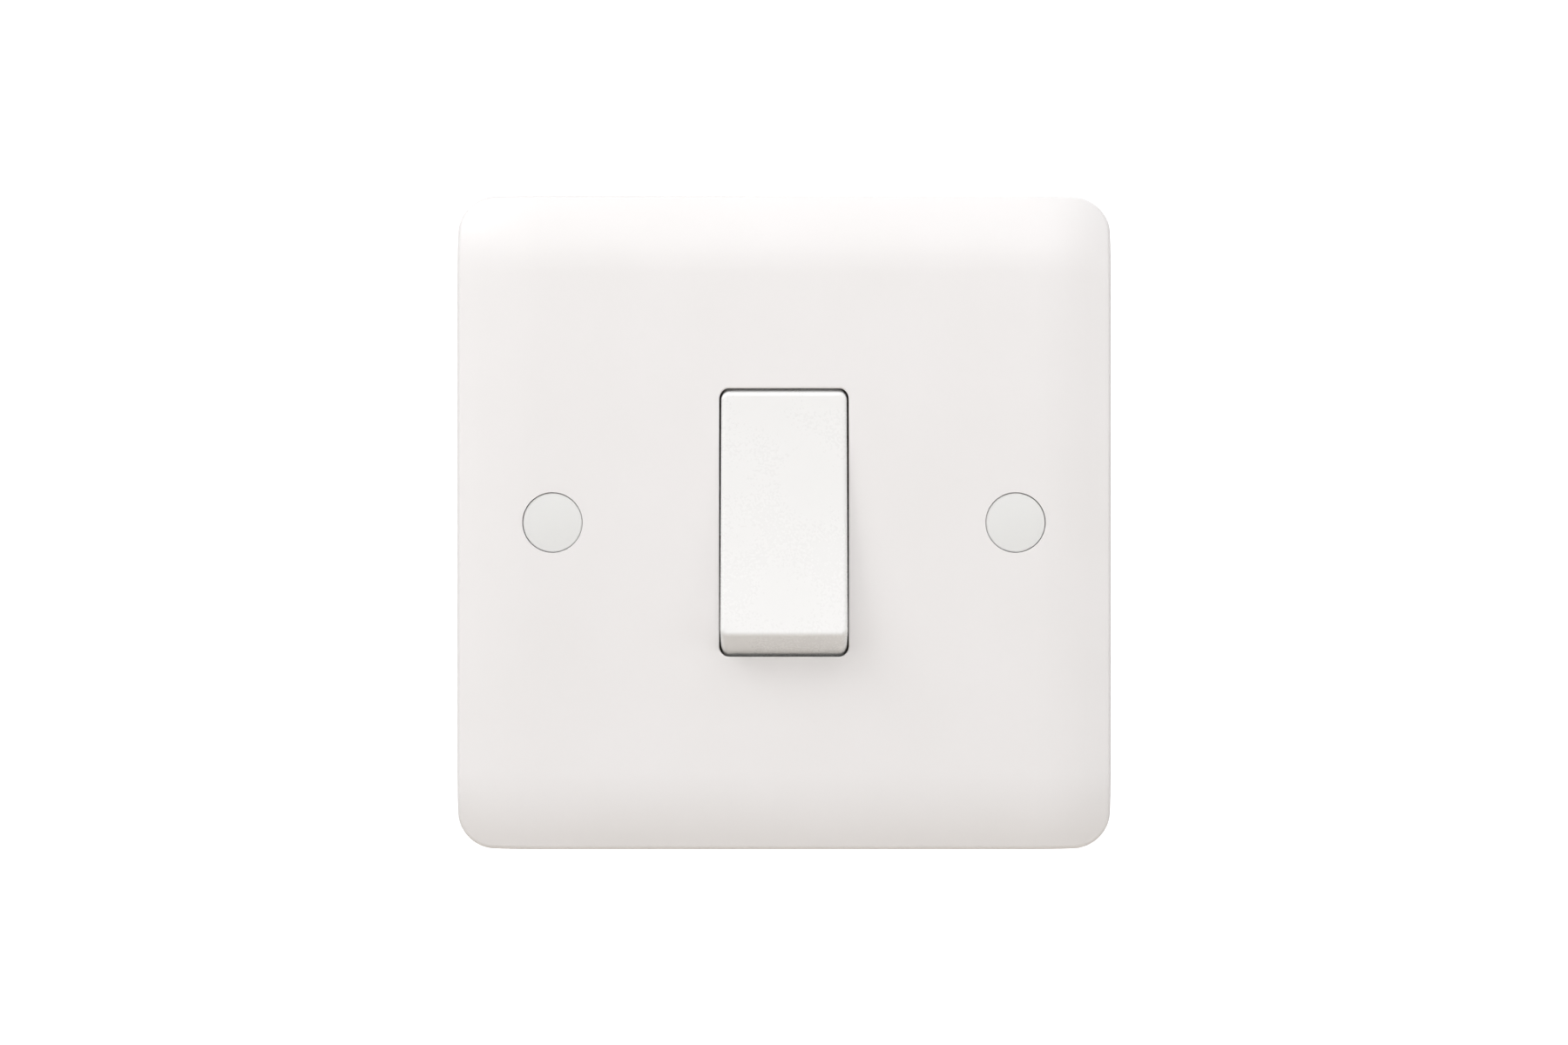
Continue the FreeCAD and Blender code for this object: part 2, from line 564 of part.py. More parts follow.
# ---- mechanism cover and base ----------------------------------------------
def mechanism_cover():
    tub = box((-COVER_HALF, COVER_HALF), (PLATE_INNER_Y, COVER_FLOOR_Y), (-COVER_Z, COVER_Z))
    flange = box((-BASE_HALF, BASE_HALF), (COVER_FLOOR_Y, COVER_REAR_Y), (-BASE_Z, BASE_Z))
    solid = fuse(tub, [flange])
    well = box(
        (-COVER_HALF_INNER, COVER_HALF_INNER),
        (PLATE_INNER_Y - OVER, COVER_FLOOR_Y),
        (-COVER_INNER_Z, COVER_INNER_Z))
    sway = COVER_REAR_Y * math.sin(math.radians(HALF_SWING))
    slot_x = TUBE_R + COVER_SLOT_GAP
    slot_z = slot_x + sway
    slot_y = (COVER_FLOOR_Y - OVER, COVER_REAR_Y + OVER)
    slot = box((-slot_x, slot_x), slot_y, (-slot_z, slot_z))
    bearing = rod(SLOT_R, V(-FAR, 0, 0), V(FAR, 0, 0))
    way_in = box((-FAR, FAR), (PLATE_INNER_Y - OVER, 0), (-SLOT_R, SLOT_R))
    return solid.cut([well, slot, bearing, way_in])


def mechanism_base():
    solid = box((-BASE_HALF, BASE_HALF), (COVER_REAR_Y, BASE_REAR_Y), (-BASE_Z, BASE_Z))
    rear = [e for e in solid.Edges if abs(e.BoundBox.YMin - BASE_REAR_Y) < NEAR]
    solid = solid.makeChamfer(BASE_EDGE, rear)
    ears = []
    inside_y = (COVER_REAR_Y - OVER, BASE_FLOOR_Y)
    panel_x = CHAMBER_HALF - REAR_PANEL_MARGIN
    panel_z = CHAMBER_Z - REAR_PANEL_MARGIN
    panel_y = (BASE_REAR_Y - REAR_PANEL_DEPTH, BASE_REAR_Y + OVER)
    cuts = [
        box((-CHAMBER_HALF, CHAMBER_HALF), inside_y, (-CHAMBER_Z, CHAMBER_Z)),
        box((-panel_x, panel_x), panel_y, (-panel_z, panel_z))]
    rib_x = BLOCK_X - BLOCK_WIDTH / 2 - POCKET_GAP
    for up in (-1, 1):
        pocket_z = (up * POCKET_Z, up * POCKET_END_Z)
        for side in (-1, 1):
            cuts.append(box((side * rib_x, side * CHAMBER_HALF), inside_y, pocket_z))
            centre = V(side * EAR_X, COVER_REAR_Y, up * EAR_Z)
            tab = box(
                (side * (BASE_HALF - OVER), side * EAR_X),
                (COVER_REAR_Y, COVER_REAR_Y + EAR_T),
                (up * EAR_Z - EAR_R, up * EAR_Z + EAR_R))
            ears += [tab, rod(EAR_R, centre, centre + Y_AXIS * EAR_T)]
            hole_y = (COVER_REAR_Y - OVER, BASE_REAR_Y)
            cuts.append(y_rod(EAR_HOLE_R, side * EAR_X, hole_y, up * EAR_Z))
        spare = rib_x - DIVIDER_T
        cuts.append(box((-spare, spare), inside_y, pocket_z))
    for _, side, up in TERMINALS:
        x = side * BLOCK_X
        entry_r = WIRE_R + WIRE_ENTRY_GAP
        outside = V(x, WIRE_Y, up * (BASE_Z + OVER))
        inside = V(x, WIRE_Y, up * (POCKET_END_Z - OVER))
        cuts.append(rod(entry_r, outside, inside))
        cuts.append(y_rod(ACCESS_R, x, (BASE_FLOOR_Y - OVER, BASE_REAR_Y + OVER), up * SCREW_Z))
        lane = strip_lane(side)
        slot_x = (min(lane) - STRIP_SLOT_GAP, max(lane) + STRIP_SLOT_GAP)
        slot_y = (STRIP_FRONT_Y - STRIP_SLOT_GAP, BASE_FLOOR_Y)
        cuts.append(box(slot_x, slot_y, (up * (CHAMBER_Z - OVER), up * (POCKET_Z + OVER))))
    return fuse(solid, ears).cut(cuts)


def base_screws():
    """Four self-tapping screws, threads shown as plain rods."""
    screws = []
    front = PLATE_INNER_Y + PILOT_FLOOR + TAPPING_TIP_GAP
    seat = COVER_REAR_Y + EAR_T
    rear = seat + TAPPING_HEAD_T
    for side in (-1, 1):
        for up in (-1, 1):
            x = side * EAR_X
            z = up * EAR_Z
            shank = y_rod(TAPPING_R, x, (front + TAPPING_POINT, seat), z)
            start = V(x, front, z)
            point = Part.makeCone(TAPPING_POINT_R, TAPPING_R, TAPPING_POINT, start, Y_AXIS)
            head = y_rod(TAPPING_HEAD_R, x, (seat, rear), z)
            outer = [e for e in head.Edges if abs(e.BoundBox.YMin - rear) < NEAR]
            head = head.makeFillet(TAPPING_HEAD_T / 3, outer)
            recess = cross_recess(x, (rear - CROSS_DEPTH, rear + OVER), z)
            screws.append(fuse(shank, [point, head]).cut(recess))
    return Part.makeCompound(screws)


# ---- fixing screws, washers and caps ---------------------------------------
def fixing_screws():
    """The two long screws into the wall box, threads shown plain."""
    screws = []
    front = WEB_FRONT_Y - FIXING_HEAD_T
    for side in (-1, 1):
        x = side * FIXING_X
        head = y_rod(FIXING_HEAD_R, x, (front, WEB_FRONT_Y), 0)
        outer = [e for e in head.Edges if abs(e.BoundBox.YMax - front) < NEAR]
        head = head.makeFillet(FIXING_HEAD_EDGE, outer)
        neck = y_rod(FIXING_NECK_R, x, (WEB_FRONT_Y, 0), 0)
        thread = y_rod(FIXING_THREAD_R, x, (0, FIXING_LENGTH), 0)
        tip_r = FIXING_NECK_R - FIXING_TIP_STEP
        tip_start = V(x, FIXING_LENGTH, 0)
        tip = Part.makeCone(FIXING_THREAD_R, tip_r, FIXING_TIP, tip_start, Y_AXIS)
        half = FIXING_SLOT / 2
        slot_x = (x - 2 * FIXING_HEAD_R, x + 2 * FIXING_HEAD_R)
        slot = box(slot_x, (front - OVER, front + FIXING_SLOT_DEPTH), (-half, half))
        screws.append(fuse(head, [neck, thread, tip]).cut(slot))
    return Part.makeCompound(screws)


def fixing_washers():
    """The collars that stop the fixing screws dropping out."""
    washers = []
    for side in (-1, 1):
        x = side * FIXING_X
        y = (WEB_REAR_Y, WEB_REAR_Y + WASHER_T)
        hole = y_rod(FIXING_NECK_R + WASHER_GAP, x, (y[0] - OVER, y[1] + OVER), 0)
        washers.append(y_rod(WASHER_R, x, y, 0).cut(hole))
    return Part.makeCompound(washers)


def screw_cap(side):
    x = side * FIXING_X
    rear = FRONT_Y + CAP_T
    crown_r = (CAP_R ** 2 + CAP_CROWN ** 2) / (2 * CAP_CROWN)
    crown = Part.makeSphere(crown_r, V(x, FRONT_Y + crown_r, 0))
    disc = y_rod(CAP_R, x, (FRONT_Y, rear), 0).common(crown)
    rim_y = FRONT_Y + CAP_CROWN
    front_edge = [e for e in disc.Edges if abs(e.BoundBox.YMax - rim_y) < NEAR]
    disc = disc.makeFillet(CAP_EDGE, front_edge)
    skirt = y_rod(CAP_SKIRT_R, x, (rear, rear + CAP_SKIRT_LENGTH), 0)
    hollow = y_rod(CAP_SKIRT_R - CAP_SKIRT_WALL, x, (rear, rear + CAP_SKIRT_LENGTH + OVER), 0)
    return fuse(disc, [skirt.cut(hollow)])


# ---- write every piece -----------------------------------------------------
PIECES = {
    "faceplate": faceplate(),
    "rocker": rocker(),
    "plunger": plunger(),
    "plunger_spring": plunger_spring(),
    "moving_contact": moving_contact(),
    "moving_contact_tips": moving_contact_tips(),
    "mechanism_cover": mechanism_cover(),
    "mechanism_base": mechanism_base(),
    "base_screws": base_screws(),
    "common_terminal": common_terminal(),
    "l1_terminal": line_terminal(1),
    "l2_terminal": line_terminal(-1),
    "l1_fixed_contact": fixed_contact(1),
    "l2_fixed_contact": fixed_contact(-1),
    "fixing_screws": fixing_screws(),
    "fixing_screw_washers": fixing_washers(),
    "screw_cap_left": screw_cap(-1),
    "screw_cap_right": screw_cap(1),
}
for name, side, up in TERMINALS:
    PIECES[name + "_terminal_screw"] = terminal_screw(side, up)

os.makedirs("parts", exist_ok=True)
for name, shape in PIECES.items():
    shape.exportStep("parts/" + name + ".step")
    print(name, "valid" if shape.isValid() else "NOT VALID", len(shape.Solids), round(shape.Volume, 2))
print("rocker radius", round(ROCKER_R, 3), "contact axis y", round(CONTACT_AXIS_Y, 4),
      "wire y", round(WIRE_Y, 3), "block z", round(BLOCK_Z, 3), "to", round(BLOCK_Z + BLOCK_LENGTH, 3))
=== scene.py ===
import bmesh
import bpy
import json
import math
from mathutils import Matrix, Vector


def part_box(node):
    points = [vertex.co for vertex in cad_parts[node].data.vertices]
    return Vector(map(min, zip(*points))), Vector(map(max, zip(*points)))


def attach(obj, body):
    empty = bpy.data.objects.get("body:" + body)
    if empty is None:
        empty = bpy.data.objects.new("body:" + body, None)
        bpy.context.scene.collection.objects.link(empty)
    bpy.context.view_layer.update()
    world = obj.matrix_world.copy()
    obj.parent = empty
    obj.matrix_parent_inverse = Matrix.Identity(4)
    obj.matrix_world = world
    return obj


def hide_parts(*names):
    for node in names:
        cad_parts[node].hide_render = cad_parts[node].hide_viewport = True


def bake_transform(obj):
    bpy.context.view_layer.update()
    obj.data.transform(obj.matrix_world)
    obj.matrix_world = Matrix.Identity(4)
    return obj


# Rocker wall switch on a square moulded plate: looks, lights and camera.
# Metres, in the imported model's frame: +X to the right, +Z up, +Y into the wall.

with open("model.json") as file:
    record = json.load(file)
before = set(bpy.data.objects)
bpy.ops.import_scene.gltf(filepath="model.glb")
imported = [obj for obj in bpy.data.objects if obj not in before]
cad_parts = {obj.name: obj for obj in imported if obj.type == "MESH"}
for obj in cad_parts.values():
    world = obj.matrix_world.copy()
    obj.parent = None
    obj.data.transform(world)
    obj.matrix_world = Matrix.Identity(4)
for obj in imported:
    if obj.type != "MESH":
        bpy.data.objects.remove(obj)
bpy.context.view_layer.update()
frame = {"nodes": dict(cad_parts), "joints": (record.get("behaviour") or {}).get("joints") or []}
MM = 0.001
MERGE = 1e-7                   # points nearer than this are one
ORIGIN = Vector((0, 0, 0))
Y_AXIS = Vector((0, 1, 0))
plate_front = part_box("faceplate")[0].y

# ---- camera ----------------------------------------------------------------
VIEW_WIDTH = 0.2040816         # what the camera takes in, at the plate's front
CAMERA_DISTANCE = 0.235        # from the plate's front
SENSOR = 36.0

camera_data = bpy.data.cameras.new("camera")
camera_data.sensor_width = SENSOR
camera_data.lens = SENSOR * CAMERA_DISTANCE / VIEW_WIDTH
camera_data.clip_start = 0.01
camera = bpy.data.objects.new("camera", camera_data)
bpy.context.scene.collection.objects.link(camera)
camera.location = (0, plate_front - CAMERA_DISTANCE, 0)
camera.rotation_euler = (math.radians(90), 0, 0)
bpy.context.scene.camera = camera


# ---- studio ----------------------------------------------------------------
def soft_box(name, around, above, size, brightness, distance=0.95):
    """A rectangular soft light on a sphere about the switch. Angles in degrees: around 0 is in front
    and positive to the right, above is over the horizon."""
    around, above = math.radians(around), math.radians(above)
    place = distance * Vector((math.sin(around) * math.cos(above), -math.cos(around) * math.cos(above),
                               math.sin(above)))
    light = bpy.data.lights.new(name, "AREA")
    light.shape = "RECTANGLE"
    light.size, light.size_y = size
    light.energy = brightness * math.pi * light.size * light.size_y
    holder = bpy.data.objects.new(name, light)
    bpy.context.scene.collection.objects.link(holder)
    holder.location = place
    holder.rotation_mode = "QUATERNION"
    holder.rotation_quaternion = (-place).to_track_quat("-Z", "Y")


def stage_piece(name, build, colour, glow):
    """A plain surface that isn't part of the object."""
    bm = bmesh.new()
    build(bm)
    mesh = bpy.data.meshes.new(name)
    bm.to_mesh(mesh)
    bm.free()
    material = bpy.data.materials.new(name)
    material.use_nodes = True
    shader = material.node_tree.nodes["Principled BSDF"]
    shader.inputs["Base Color"].default_value = (*colour, 1)
    shader.inputs["Roughness"].default_value = 0.9
    shader.inputs["Emission Color"].default_value = (1, 1, 1, 1)
    shader.inputs["Emission Strength"].default_value = glow
    mesh.materials.append(material)
    made = bpy.data.objects.new(name, mesh)
    bpy.context.scene.collection.objects.link(made)
    return made


scene = bpy.context.scene
scene.view_settings.view_transform = "Standard"
world = bpy.data.worlds.new("studio_air")
world.use_nodes = True
world.node_tree.nodes["Background"].inputs["Color"].default_value = (1.0, 0.99, 0.985, 1)
world.node_tree.nodes["Background"].inputs["Strength"].default_value = 0.345
scene.world = world
soft_box("overhead_low_box", 0, 26, (1.15, 0.30), 2.3)
soft_box("overhead_middle_box", 0, 44, (1.15, 0.30), 1.1)
soft_box("overhead_high_box", 0, 63, (1.15, 0.32), 2.0)
soft_box("left_box", -58, 8, (0.45, 0.45), 1.3)
soft_box("left_high_box", -60, 42, (0.45, 0.45), 4.78)
soft_box("right_box", 58, 8, (0.45, 0.45), 2.2)
soft_box("rear_high_box", 150, 38, (0.8, 0.5), 2.6)
soft_box("rear_side_box", 215, 10, (0.5, 0.8), 1.8)

ROOM_RADIUS = 5.0
FLOOR_RADIUS = 0.95
FLOOR_DROP = 0.45
FLOOR_COLOUR = (0.75, 0.69, 0.62)
ROOM_COLOUR = (1, 1, 1)


def room_shape(bm):
    bmesh.ops.create_icosphere(bm, subdivisions=4, radius=ROOM_RADIUS)


def floor_shape(bm):
    bmesh.ops.create_circle(bm, cap_ends=True, segments=96, radius=FLOOR_RADIUS,
                            matrix=Matrix.Translation((0, 0, -FLOOR_DROP)))


# The room glows behind the switch but lights nothing.
room = stage_piece("white_room", room_shape, ROOM_COLOUR, 1.0)
room.visible_diffuse = False
room.visible_glossy = False
room.visible_transmission = False
room.visible_shadow = False
stage_piece("floor", floor_shape, FLOOR_COLOUR, 0.0)


# ---- node helpers ----------------------------------------------------------
def link(tree, source, target):
    tree.links.new(source, target)


def add(tree, kind, values=None, **settings):
    """A node with its settings and its sockets' values."""
    node = tree.nodes.new(kind)
    for key, value in settings.items():
        setattr(node, key, value)
    for socket, value in (values or {}).items():
        node.inputs[socket].default_value = value
    return node


def math_node(tree, operation, first, second):
    node = tree.nodes.new("ShaderNodeMath")
    node.operation = operation
    for socket, value in zip(node.inputs, (first, second)):
        if isinstance(value, (int, float)):
            socket.default_value = value
        else:
            link(tree, value, socket)
    return node.outputs[0]


def blend_colour(tree, amount, first, second):
    node = add(tree, "ShaderNodeMix", data_type="RGBA")
    link(tree, amount, node.inputs["Factor"])
    for socket, value in ((node.inputs[6], first), (node.inputs[7], second)):
        link(tree, value, socket)
    return node.outputs[2]


def noise(tree, vector, scale, detail=2.0, rough=0.5):
    node = add(tree, "ShaderNodeTexNoise", {"Scale": scale, "Detail": detail, "Roughness": rough})
    link(tree, vector, node.inputs["Vector"])
    return node.outputs["Fac"]


def spread(tree, value, low, high, to_low=0.0, to_high=1.0):
    """Stretches a value from one range to another, clamped."""
    node = add(tree, "ShaderNodeMapRange",
               {"From Min": low, "From Max": high, "To Min": to_low, "To Max": to_high})
    link(tree, value, node.inputs["Value"])
    return node.outputs["Result"]


def new_group(name, inputs, outputs):
    """A shader node group with named, typed sockets. Gives the tree, its inputs and its outputs."""
    tree = bpy.data.node_groups.new(name, "ShaderNodeTree")
    for socket, kind, value in inputs:
        made = tree.interface.new_socket(socket, in_out="INPUT", socket_type=kind)
        if value is not None:
            made.default_value = value
    for socket, kind in outputs:
        tree.interface.new_socket(socket, in_out="OUTPUT", socket_type=kind)
    return tree, tree.nodes.new("NodeGroupInput").outputs, tree.nodes.new("NodeGroupOutput").inputs


# Painted shade in an opening: its walls turn dark from this depth below the lip, are fully dark at the
# next, and fade out past its outline.
PAINTED_SHADE_START = 0.05 * MM         # depth below the lip
PAINTED_SHADE_FULL = 0.35 * MM
PAINTED_SHADE_FADE = 0.2 * MM           # outside the opening's outline
COLOUR, VALUE, VECTOR = "NodeSocketColor", "NodeSocketFloat", "NodeSocketVector"


def moulded_skin_group():
    """Moulded plastic: faint clouding, a fine spark-eroded grain, slight waves and handling marks."""
    tree, given, out = new_group(
        "moulded_skin",
        [("Place", VECTOR, None), ("Colour", COLOUR, None), ("Cloud Colour", COLOUR, None),
         ("Polish", VALUE, 0.3), ("Handling", VALUE, 0.1), ("Grain", VALUE, 0.3)],
        [("Colour", COLOUR), ("Roughness", VALUE), ("Normal", VECTOR)])
    clouds = spread(tree, noise(tree, given["Place"], 70, 1.5), 0.25, 0.75)
    specks = spread(tree, noise(tree, given["Place"], 900, 2.0), 0.72, 0.9, 0.0, 0.4)
    shade = math_node(tree, "MAXIMUM", clouds, specks)
    link(tree, blend_colour(tree, shade, given["Colour"], given["Cloud Colour"]), out["Colour"])
    marks = spread(tree, noise(tree, given["Place"], 130, 2.0, 0.45), 0.25, 0.8)
    fine = noise(tree, given["Place"], 3200, 2.0)
    rough = math_node(tree, "ADD", given["Polish"], math_node(tree, "MULTIPLY", marks, given["Handling"]))
    rough = math_node(tree, "ADD", rough, math_node(tree, "MULTIPLY", fine, 0.05))
    link(tree, rough, out["Roughness"])
    grain = add(tree, "ShaderNodeBump", {"Distance": 0.00002})
    link(tree, given["Grain"], grain.inputs["Strength"])
    link(tree, fine, grain.inputs["Height"])
    waves = add(tree, "ShaderNodeBump", {"Distance": 0.00006, "Strength": 0.35})
    link(tree, noise(tree, given["Place"], 110, 1.0), waves.inputs["Height"])
    link(tree, grain.outputs["Normal"], waves.inputs["Normal"])
    link(tree, waves.outputs["Normal"], out["Normal"])
    return tree


def worked_metal_group():
    """Plated or bare metal: streaks left by rolling or turning, dull patches and fine pits."""
    tree, given, out = new_group(
        "worked_metal",
        [("Place", VECTOR, None), ("Streaks", VALUE, 0.5), ("Colour", COLOUR, None),
         ("Dull Colour", COLOUR, None), ("Polish", VALUE, 0.25), ("Dulling", VALUE, 0.2)],
        [("Colour", COLOUR), ("Roughness", VALUE), ("Normal", VECTOR)])
    patches = spread(tree, noise(tree, given["Place"], 320, 5.0, 0.62), 0.42, 0.68)
    pits = spread(tree, noise(tree, given["Place"], 5200, 1.0), 0.66, 0.8)
    shade = math_node(tree, "MULTIPLY", math_node(tree, "MAXIMUM", patches, pits), 0.85)
    link(tree, blend_colour(tree, shade, given["Colour"], given["Dull Colour"]), out["Colour"])
    rough = math_node(tree, "ADD", given["Polish"], math_node(tree, "MULTIPLY", shade, given["Dulling"]))
    rough = math_node(tree, "ADD", rough, math_node(tree, "MULTIPLY", given["Streaks"], 0.12))
    link(tree, rough, out["Roughness"])
    scored = add(tree, "ShaderNodeBump", {"Distance": 0.000012, "Strength": 0.6})
    link(tree, given["Streaks"], scored.inputs["Height"])
    pitted = add(tree, "ShaderNodeBump", {"Distance": 0.00001, "Strength": 0.5}, invert=True)
    link(tree, pits, pitted.inputs["Height"])
    link(tree, scored.outputs["Normal"], pitted.inputs["Normal"])
    link(tree, pitted.outputs["Normal"], out["Normal"])
    return tree


def mouth_painted_shade_group():
    """Painted shade on the walls of an opening: a dark colour, none at its lip, more the deeper it goes,
    with no gloss.
    """
    tree, given, out = new_group(
        "mouth_painted_shade",
        [("Place", VECTOR, None), ("Colour", COLOUR, None), ("Painted Shade Colour", COLOUR, None),
         ("Roughness", VALUE, 0.3), ("Half Width", VALUE, 0.0), ("Half Height", VALUE, 0.0),
         ("Lip Place", VALUE, 0.0)],
        [("Colour", COLOUR), ("Roughness", VALUE), ("Gloss", VALUE)])
    axes = add(tree, "ShaderNodeSeparateXYZ")
    link(tree, given["Place"], axes.inputs["Vector"])
    mask = spread(tree, math_node(tree, "SUBTRACT", axes.outputs["Y"], given["Lip Place"]),
                  PAINTED_SHADE_START, PAINTED_SHADE_FULL)
    for along, half in (("X", "Half Width"), ("Z", "Half Height")):
        off_middle = math_node(tree, "ABSOLUTE", axes.outputs[along], 0.0)
        past = math_node(tree, "SUBTRACT", off_middle, given[half])
        mask = math_node(tree, "MULTIPLY", mask, spread(tree, past, 0.0, PAINTED_SHADE_FADE, 1.0, 0.0))
    patchy = spread(tree, noise(tree, given["Place"], 1500, 3.0), 0.3, 0.6, 0.8, 1.0)
    mask = math_node(tree, "MULTIPLY", mask, patchy)
    link(tree, blend_colour(tree, mask, given["Colour"], given["Painted Shade Colour"]), out["Colour"])
    link(tree, math_node(tree, "MAXIMUM", given["Roughness"], mask), out["Roughness"])
    link(tree, spread(tree, mask, 0.0, 0.8, 0.5, 0.0), out["Gloss"])
    return tree


MOULDED_SKIN = moulded_skin_group()
MOUTH_PAINTED_SHADE = mouth_painted_shade_group()
WORKED_METAL = worked_metal_group()


def start_material(name, group, values, fixed):
    """A material with one effect group feeding a Principled shader, whose constants are set on it."""
    material = bpy.data.materials.new(name)
    material.use_nodes = True
    tree = material.node_tree
    shader = tree.nodes["Principled BSDF"]
    for socket, value in fixed.items():
        shader.inputs[socket].default_value = value
    effect = add(tree, "ShaderNodeGroup", node_tree=group)
    for socket, value in values.items():
        effect.inputs[socket].default_value = value
    link(tree, effect.outputs["Colour"], shader.inputs["Base Color"])
    link(tree, effect.outputs["Roughness"], shader.inputs["Roughness"])
    link(tree, effect.outputs["Normal"], shader.inputs["Normal"])
    return material, tree, effect


def plastic(name, colour, clouded, polish, handling=0.08, grain=0.3, **fixed):
    material, tree, effect = start_material(
        name, MOULDED_SKIN,
        {"Colour": (*colour, 1), "Cloud Colour": (*clouded, 1),
         "Polish": polish, "Handling": handling, "Grain": grain},
        {"IOR": 1.5, **fixed})
    place = add(tree, "ShaderNodeTexCoord").outputs["Object"]
    link(tree, place, effect.inputs["Place"])
    return material


def paint_shade_into_mouth(material, colour, half_width, half_height, lip_y):
    """Paints shade into an opening's walls, between the plastic's colour and its shader."""
    tree = material.node_tree
    shader = tree.nodes["Principled BSDF"]
    shade_paint = add(tree, "ShaderNodeGroup", node_tree=MOUTH_PAINTED_SHADE)
    for socket, own in (("Base Color", "Colour"), ("Roughness", "Roughness")):
        link(tree, shader.inputs[socket].links[0].from_socket, shade_paint.inputs[own])
        link(tree, shade_paint.outputs[own], shader.inputs[socket])
    link(tree, shade_paint.outputs["Gloss"], shader.inputs["Specular IOR Level"])
    for socket, value in (("Painted Shade Colour", (*colour, 1)), ("Half Width", half_width),
                          ("Half Height", half_height), ("Lip Place", lip_y)):
        shade_paint.inputs[socket].default_value = value
    link(tree, add(tree, "ShaderNodeTexCoord").outputs["Object"], shade_paint.inputs["Place"])


def metal(name, colour, dull, polish, dulling, grain_scale=None, rings=False):
    """Metal with straight grain, or with turned rings about each piece's own axis."""
    material, tree, effect = start_material(
        name, WORKED_METAL,
        {"Colour": (*colour, 1), "Dull Colour": (*dull, 1), "Polish": polish, "Dulling": dulling},
        {"Metallic": 1.0})
    place = add(tree, "ShaderNodeTexCoord").outputs["Object"]
    link(tree, place, effect.inputs["Place"])
    if rings:
        own_axis = add(tree, "ShaderNodeAttribute", attribute_name="own_axis")
        wave = add(tree, "ShaderNodeTexWave", {"Scale": 1400, "Distortion": 0.6, "Detail": 2.0},
                   wave_type="RINGS", rings_direction="Y")
        link(tree, own_axis.outputs["Vector"], wave.inputs["Vector"])
        link(tree, wave.outputs["Fac"], effect.inputs["Streaks"])
    else:
        lay = add(tree, "ShaderNodeMapping", {"Scale": grain_scale})
        link(tree, place, lay.inputs["Vector"])
        link(tree, noise(tree, lay.outputs["Vector"], 1.0, 3.0), effect.inputs["Streaks"])
    return material


PLATE = plastic("plate_plastic", (0.825, 0.81, 0.812), (0.81, 0.795, 0.793), 0.30)
ROCKER = plastic("rocker_plastic", (0.832, 0.832, 0.829), (0.824, 0.824, 0.82), 0.24, 0.03)
CAP = plastic("cap_plastic", (0.775, 0.78, 0.775), (0.76, 0.765, 0.758), 0.34)
COVER = plastic("cover_plastic", (0.62, 0.6, 0.56), (0.58, 0.555, 0.51), 0.5, 0.1, 0.8)
BASE = plastic("base_plastic", (0.42, 0.42, 0.41), (0.37, 0.37, 0.355), 0.48, 0.12, 0.9)
NYLON = plastic("plunger_nylon", (0.72, 0.70, 0.64), (0.68, 0.655, 0.58), 0.36, 0.06, 0.3)
FIBRE = plastic("washer_fibre", (0.28, 0.07, 0.045), (0.2, 0.045, 0.03), 0.7, 0.12, 1.0)
SPRING_STEEL = metal("spring_steel", (0.5, 0.5, 0.51), (0.33, 0.32, 0.31), 0.25, 0.2, (800, 800, 800))
COPPER = metal("contact_copper", (0.86, 0.43, 0.27), (0.55, 0.25, 0.15), 0.24, 0.22, (3000, 200, 3000))
SILVER = metal("contact_silver", (0.86, 0.85, 0.82), (0.6, 0.57, 0.5), 0.22, 0.2, (900, 900, 900))
BRASS = metal("terminal_brass", (0.83, 0.62, 0.27), (0.55, 0.38, 0.16), 0.24, 0.24, (3000, 3000, 180))
SCREW_BRASS = metal("screw_brass", (0.85, 0.66, 0.31), (0.58, 0.42, 0.19), 0.2, 0.2, rings=True)
ZINC = metal("screw_zinc", (0.66, 0.68, 0.7), (0.5, 0.5, 0.48), 0.28, 0.2, rings=True)
NICKEL = metal("screw_nickel", (0.74, 0.71, 0.66), (0.56, 0.53, 0.48), 0.2, 0.18, rings=True)

APERTURE_HALF_WIDTH = 8.42 * MM
APERTURE_HALF_HEIGHT = 17.35 * MM
APERTURE_ALLOWANCE = 0.1 * MM
COVER_ALLOWANCE = 1.5 * MM
# Dark brown painted shade on the walls inside the rocker's opening, on the plate and on the cover behind
# it.
PAINTED_SHADE_COLOUR = (0.07, 0.042, 0.025)
for material, allowance in ((PLATE, APERTURE_ALLOWANCE), (COVER, COVER_ALLOWANCE)):
    paint_shade_into_mouth(material, PAINTED_SHADE_COLOUR, APERTURE_HALF_WIDTH + allowance, APERTURE_HALF_HEIGHT + allowance,
               plate_front)

KEPT_NODES = {
    "faceplate": PLATE, "rocker": ROCKER, "screw_cap_left": CAP, "screw_cap_right": CAP,
    "mechanism_cover": COVER, "mechanism_base": BASE, "plunger": NYLON,
    "fixing_screw_washers": FIBRE, "moving_contact": COPPER, "moving_contact_tips": SILVER,
    "l1_fixed_contact": SILVER, "l2_fixed_contact": SILVER,
    "common_terminal": BRASS, "l1_terminal": BRASS, "l2_terminal": BRASS,
}
for node, material in KEPT_NODES.items():
    for material_slot in frame["nodes"][node].material_slots:
        material_slot.material = material


# ---- piece helpers ---------------------------------------------------------
def lathe(bm, profile, steps=48):
    """Spins (radius, y) points about the Y axis."""
    verts = [bm.verts.new((r, y, 0)) for r, y in profile]
    edges = [bm.edges.new(pair) for pair in zip(verts, verts[1:])]
    bmesh.ops.spin(bm, geom=verts + edges, cent=ORIGIN, axis=Y_AXIS,
                   angle=2 * math.pi, steps=steps, use_merge=True)


